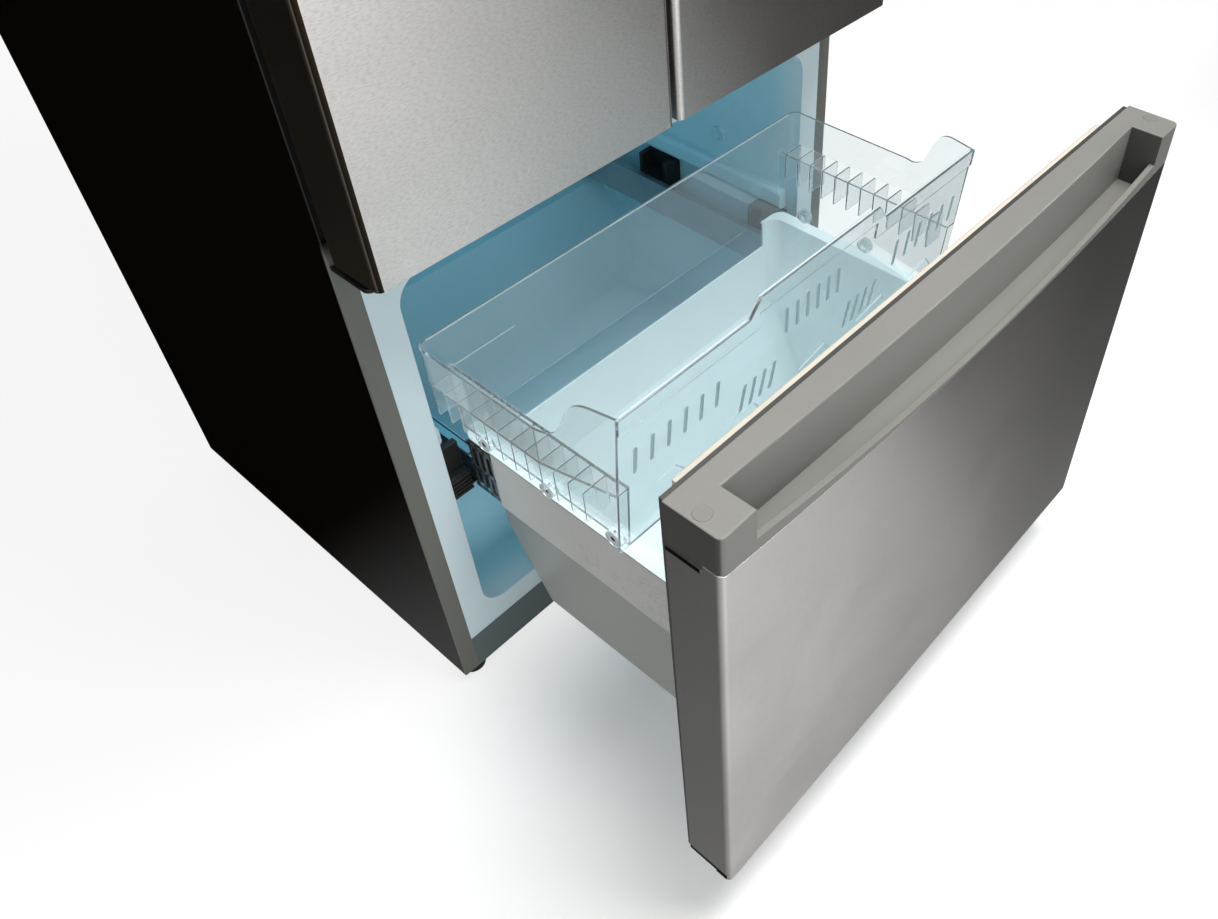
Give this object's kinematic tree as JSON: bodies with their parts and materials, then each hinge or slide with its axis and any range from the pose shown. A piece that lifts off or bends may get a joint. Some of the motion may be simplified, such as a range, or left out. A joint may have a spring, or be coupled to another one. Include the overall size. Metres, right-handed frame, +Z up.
{
  "type": "bottom-freezer refrigerator",
  "caption": "Refrigerator with hinged upper doors over a pull-out freezer drawer that carries a deep bin and a clear sliding tray on telescopic runners.",
  "frame": {"origin": "on the floor under the middle of the part's outline, with the freezer drawer open as at rest", "axes": "+Z up, +Y towards the back of the cabinet, +X to the right of someone facing the doors"},
  "size_m": [0.794, 1.1792, 1.785],
  "materials": {
    "dark_sheet": "gloss black enamel on steel",
    "grey_sheet": "galvanised sheet, satin",
    "base_sheet": "satin black enamel",
    "steel_front": "fine brushed stainless steel",
    "liner_white": "moulded white plastic, faintly blue",
    "foam": "rigid insulation foam",
    "rail_steel": "zinc-plated steel",
    "panel_grey": "satin light grey",
    "black_plastic": "fine-grained black plastic",
    "cap_grey": "satin warm grey plastic",
    "plug_grey": "satin grey plastic",
    "gasket_cream": "soft cream rubber",
    "mount_rubber": "black rubber",
    "clear_plastic": "clear styrene",
    "shelf_glass": "toughened glass",
    "trim_white": "white plastic",
    "compressor_black": "black enamel",
    "coil_aluminium": "bare aluminium",
    "fan_black": "black plastic",
    "lamp_lens": "frosted plastic",
    "hinge_dark": "black-coated steel",
    "bin_white": "moulded white plastic"
  },
  "bodies": {
    "cabinet": {"cabinet_shell": "dark_sheet", "back_panel": "grey_sheet", "base_pan": "base_sheet", "fridge_liner": "liner_white", "freezer_liner": "liner_white", "cabinet_foam": "foam", "divider_rail": "dark_sheet", "machine_cover": "grey_sheet", "compressor": "compressor_black", "compressor_mounts": "mount_rubber", "condenser": "coil_aluminium", "condenser_fan_motor": "fan_black", "drain_pan": "black_plastic", "power_inlet": "black_plastic", "evaporator": "coil_aluminium", "evaporator_cover": "liner_white", "evaporator_fan_motor": "fan_black", "air_duct": "trim_white", "fridge_lamp": "lamp_lens", "shelf_frames": "trim_white", "shelf_glass": "shelf_glass", "hinges": "hinge_dark", "hinge_covers": "black_plastic", "rail_brackets": "rail_steel", "fixed_rails": "rail_steel", "slide_guides": "black_plastic"},
    "foot_left": {"foot_left": "black_plastic"},
    "foot_right": {"foot_right": "black_plastic"},
    "roller_left": {"roller_left": "black_plastic"},
    "roller_right": {"roller_right": "black_plastic"},
    "condenser_fan": {"condenser_fan": "fan_black"},
    "evaporator_fan": {"evaporator_fan": "fan_black"},
    "left_door": {"left_door_skin": "steel_front", "left_door_liner": "liner_white", "left_door_foam": "foam", "left_door_gasket": "gasket_cream", "left_door_trims": "black_plastic", "left_door_bins": "clear_plastic"},
    "mullion_flap": {"mullion_flap": "black_plastic"},
    "right_door": {"right_door_skin": "steel_front", "right_door_liner": "liner_white", "right_door_foam": "foam", "right_door_gasket": "gasket_cream", "right_door_trims": "black_plastic", "right_door_bins": "clear_plastic"},
    "crisper_left": {"crisper_left": "clear_plastic"},
    "crisper_right": {"crisper_right": "clear_plastic"},
    "freezer_drawer": {"drawer_skin": "steel_front", "drawer_cap": "cap_grey", "drawer_bottom_cap": "black_plastic", "drawer_liner": "liner_white", "drawer_foam": "foam", "drawer_gasket": "gasket_cream", "screw_plugs": "plug_grey", "side_panels": "panel_grey", "drawer_rails": "rail_steel", "deep_bin": "bin_white"},
    "slide_middle_left": {"slide_middle_left": "rail_steel"},
    "slide_middle_right": {"slide_middle_right": "rail_steel"},
    "freezer_tray": {"freezer_tray": "clear_plastic"}
  },
  "joints": [
    {"name": "left_door_hinge", "type": "hinge", "parent": "cabinet", "child": "left_door", "pos_m": [-0.383, -0.1314, 0], "axis": [0, 0, 1], "range_deg": [-120, 0]},
    {"name": "mullion_flap_hinge", "type": "hinge", "parent": "left_door", "child": "mullion_flap", "pos_m": [-0.026, -0.0874, 0], "axis": [0, 0, 1], "range_deg": [-90, 0]},
    {"name": "right_door_hinge", "type": "hinge", "parent": "cabinet", "child": "right_door", "pos_m": [0.383, -0.1314, 0], "axis": [0, 0, 1], "range_deg": [0, 120]},
    {"name": "freezer_drawer_slide", "type": "slide", "parent": "cabinet", "child": "freezer_drawer", "axis": [0, 1, 0], "range_m": [-0.03, 0.4133]},
    {"name": "slide_middle_left_travel", "type": "slide", "parent": "cabinet", "child": "slide_middle_left", "axis": [0, 1, 0], "range_m": [-0.016, 0.208]},
    {"name": "slide_middle_right_travel", "type": "slide", "parent": "cabinet", "child": "slide_middle_right", "axis": [0, 1, 0], "range_m": [-0.016, 0.208]},
    {"name": "freezer_tray_slide", "type": "slide", "parent": "freezer_drawer", "child": "freezer_tray", "axis": [0, 1, 0], "range_m": [-0.11, 0.03]},
    {"name": "crisper_left_slide", "type": "slide", "parent": "cabinet", "child": "crisper_left", "axis": [0, 1, 0], "range_m": [-0.058, 0]},
    {"name": "crisper_right_slide", "type": "slide", "parent": "cabinet", "child": "crisper_right", "axis": [0, 1, 0], "range_m": [-0.058, 0]},
    {"name": "foot_left_turn", "type": "hinge", "parent": "cabinet", "child": "foot_left", "pos_m": [-0.37, -0.0674, 0], "axis": [0, 0, 1], "continuous": true},
    {"name": "foot_right_turn", "type": "hinge", "parent": "cabinet", "child": "foot_right", "pos_m": [0.37, -0.0674, 0], "axis": [0, 0, 1], "continuous": true},
    {"name": "roller_left_spin", "type": "hinge", "parent": "cabinet", "child": "roller_left", "pos_m": [-0.35, 0.5206, 0.018], "axis": [1, 0, 0], "continuous": true},
    {"name": "roller_right_spin", "type": "hinge", "parent": "cabinet", "child": "roller_right", "pos_m": [0.35, 0.5206, 0.018], "axis": [1, 0, 0], "continuous": true},
    {"name": "condenser_fan_spin", "type": "hinge", "parent": "cabinet", "child": "condenser_fan", "pos_m": [0.018, 0.4866, 0.138], "axis": [1, 0, 0], "continuous": true},
    {"name": "evaporator_fan_spin", "type": "hinge", "parent": "cabinet", "child": "evaporator_fan", "pos_m": [0, 0.4106, 0.602], "axis": [0, 1, 0], "continuous": true}
  ],
  "couplings": [
    {"joint": "slide_middle_left_travel", "follows": "freezer_drawer_slide", "ratio": 0.5},
    {"joint": "slide_middle_right_travel", "follows": "freezer_drawer_slide", "ratio": 0.5}
  ]
}
